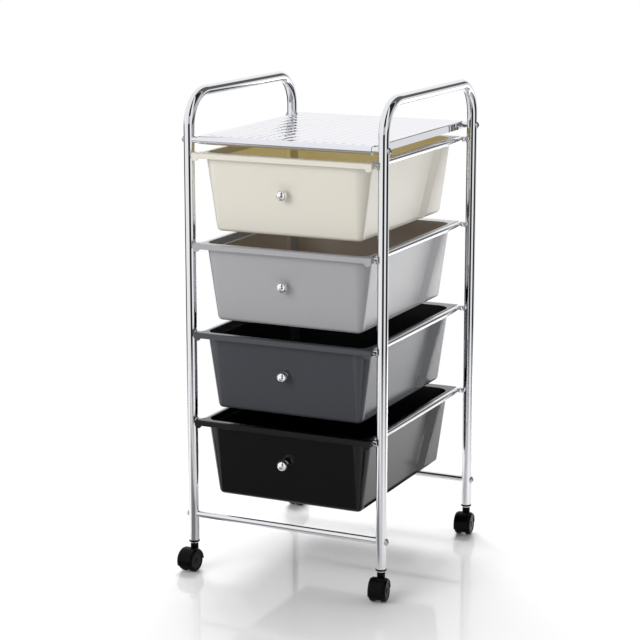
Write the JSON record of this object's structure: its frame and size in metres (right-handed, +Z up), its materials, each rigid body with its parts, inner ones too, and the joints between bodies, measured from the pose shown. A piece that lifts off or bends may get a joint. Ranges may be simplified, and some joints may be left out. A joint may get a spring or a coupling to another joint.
{
  "type": "rolling drawer trolley",
  "caption": "Rolling storage trolley: chromed tube frame with two handle bows, a ribbed chromed shelf on top and a stack of tapered plastic drawers on twin-wheel castors.",
  "frame": {"origin": "on the floor, in the middle of the bounding box", "axes": "+Z up, front and drawer pulls towards -Y, right side towards +X"},
  "size_m": [0.3436, 0.406, 0.7334],
  "materials": {
    "chrome_tube": "polished",
    "chrome_sheet": "polished",
    "chrome_knob": "polished",
    "steel_screw": "satin",
    "steel_pin": "satin",
    "cream_plastic": "satin",
    "light_grey_plastic": "satin",
    "slate_plastic": "satin",
    "black_plastic": "satin",
    "castor_plastic": "satin"
  },
  "bodies": {
    "frame": {"side_frame_left": "chrome_tube", "side_frame_right": "chrome_tube", "runner_left_1": "chrome_tube", "runner_left_2": "chrome_tube", "runner_left_3": "chrome_tube", "runner_left_4": "chrome_tube", "runner_right_1": "chrome_tube", "runner_right_2": "chrome_tube", "runner_right_3": "chrome_tube", "runner_right_4": "chrome_tube", "bar_top_front": "chrome_tube", "bar_top_rear": "chrome_tube", "bar_bottom_front": "chrome_tube", "bar_bottom_rear": "chrome_tube", "frame_screws": "steel_screw", "shelf_panel": "chrome_sheet", "castor_sockets": "castor_plastic", "castor_stems": "steel_pin"},
    "drawer_1": {"drawer_tub_1": "cream_plastic", "knob_1": "chrome_knob", "knob_screw_1": "steel_screw"},
    "drawer_2": {"drawer_tub_2": "light_grey_plastic", "knob_2": "chrome_knob", "knob_screw_2": "steel_screw"},
    "drawer_3": {"drawer_tub_3": "slate_plastic", "knob_3": "chrome_knob", "knob_screw_3": "steel_screw"},
    "drawer_4": {"drawer_tub_4": "black_plastic", "knob_4": "chrome_knob", "knob_screw_4": "steel_screw"},
    "castor_front_left": {"hood_front_left": "castor_plastic", "axle_front_left": "steel_pin"},
    "wheel_a_front_left_body": {"wheel_a_front_left": "castor_plastic"},
    "wheel_b_front_left_body": {"wheel_b_front_left": "castor_plastic"},
    "castor_front_right": {"hood_front_right": "castor_plastic", "axle_front_right": "steel_pin"},
    "wheel_a_front_right_body": {"wheel_a_front_right": "castor_plastic"},
    "wheel_b_front_right_body": {"wheel_b_front_right": "castor_plastic"},
    "castor_rear_left": {"hood_rear_left": "castor_plastic", "axle_rear_left": "steel_pin"},
    "wheel_a_rear_left_body": {"wheel_a_rear_left": "castor_plastic"},
    "wheel_b_rear_left_body": {"wheel_b_rear_left": "castor_plastic"},
    "castor_rear_right": {"hood_rear_right": "castor_plastic", "axle_rear_right": "steel_pin"},
    "wheel_a_rear_right_body": {"wheel_a_rear_right": "castor_plastic"},
    "wheel_b_rear_right_body": {"wheel_b_rear_right": "castor_plastic"}
  },
  "joints": [
    {"name": "drawer_1_slide", "type": "slide", "parent": "frame", "child": "drawer_1", "axis": [0, -1, 0], "range_m": [0, 0.23]},
    {"name": "drawer_2_slide", "type": "slide", "parent": "frame", "child": "drawer_2", "axis": [0, -1, 0], "range_m": [0, 0.23]},
    {"name": "drawer_3_slide", "type": "slide", "parent": "frame", "child": "drawer_3", "axis": [0, -1, 0], "range_m": [0, 0.23]},
    {"name": "drawer_4_slide", "type": "slide", "parent": "frame", "child": "drawer_4", "axis": [0, -1, 0], "range_m": [0, 0.23]},
    {"name": "castor_front_left_swivel", "type": "hinge", "parent": "frame", "child": "castor_front_left", "pos_m": [-0.155, -0.171, 0.034], "axis": [0, 0, 1], "continuous": true},
    {"name": "wheel_a_front_left_spin", "type": "hinge", "parent": "castor_front_left", "child": "wheel_a_front_left_body", "pos_m": [-0.16491, -0.18234, 0.017], "axis": [0.9976, -0.0698, 0], "continuous": true},
    {"name": "wheel_b_front_left_spin", "type": "hinge", "parent": "castor_front_left", "child": "wheel_b_front_left_body", "pos_m": [-0.14676, -0.18361, 0.017], "axis": [0.9976, -0.0698, 0], "continuous": true},
    {"name": "castor_front_right_swivel", "type": "hinge", "parent": "frame", "child": "castor_front_right", "pos_m": [0.155, -0.171, 0.034], "axis": [0, 0, 1], "continuous": true},
    {"name": "wheel_a_front_right_spin", "type": "hinge", "parent": "castor_front_right", "child": "wheel_a_front_right_body", "pos_m": [0.14812, -0.1844, 0.017], "axis": [0.9848, 0.1736, 0], "continuous": true},
    {"name": "wheel_b_front_right_spin", "type": "hinge", "parent": "castor_front_right", "child": "wheel_b_front_right_body", "pos_m": [0.16605, -0.18124, 0.017], "axis": [0.9848, 0.1736, 0], "continuous": true},
    {"name": "castor_rear_left_swivel", "type": "hinge", "parent": "frame", "child": "castor_rear_left", "pos_m": [-0.155, 0.171, 0.034], "axis": [0, 0, 1], "continuous": true},
    {"name": "wheel_a_rear_left_spin", "type": "hinge", "parent": "castor_rear_left", "child": "wheel_a_rear_left_body", "pos_m": [-0.14432, 0.18162, 0.017], "axis": [-0.9903, 0.1392, 0], "continuous": true},
    {"name": "wheel_b_rear_left_spin", "type": "hinge", "parent": "castor_rear_left", "child": "wheel_b_rear_left_body", "pos_m": [-0.16234, 0.18415, 0.017], "axis": [-0.9903, 0.1392, 0], "continuous": true},
    {"name": "castor_rear_right_swivel", "type": "hinge", "parent": "frame", "child": "castor_rear_right", "pos_m": [0.155, 0.171, 0.034], "axis": [0, 0, 1], "continuous": true},
    {"name": "wheel_a_rear_right_spin", "type": "hinge", "parent": "castor_rear_right", "child": "wheel_a_rear_right_body", "pos_m": [0.14743, 0.15798, 0.017], "axis": [0.9925, 0.1219, 0], "continuous": true},
    {"name": "wheel_b_rear_right_spin", "type": "hinge", "parent": "castor_rear_right", "child": "wheel_b_rear_right_body", "pos_m": [0.16549, 0.1602, 0.017], "axis": [0.9925, 0.1219, 0], "continuous": true}
  ]
}
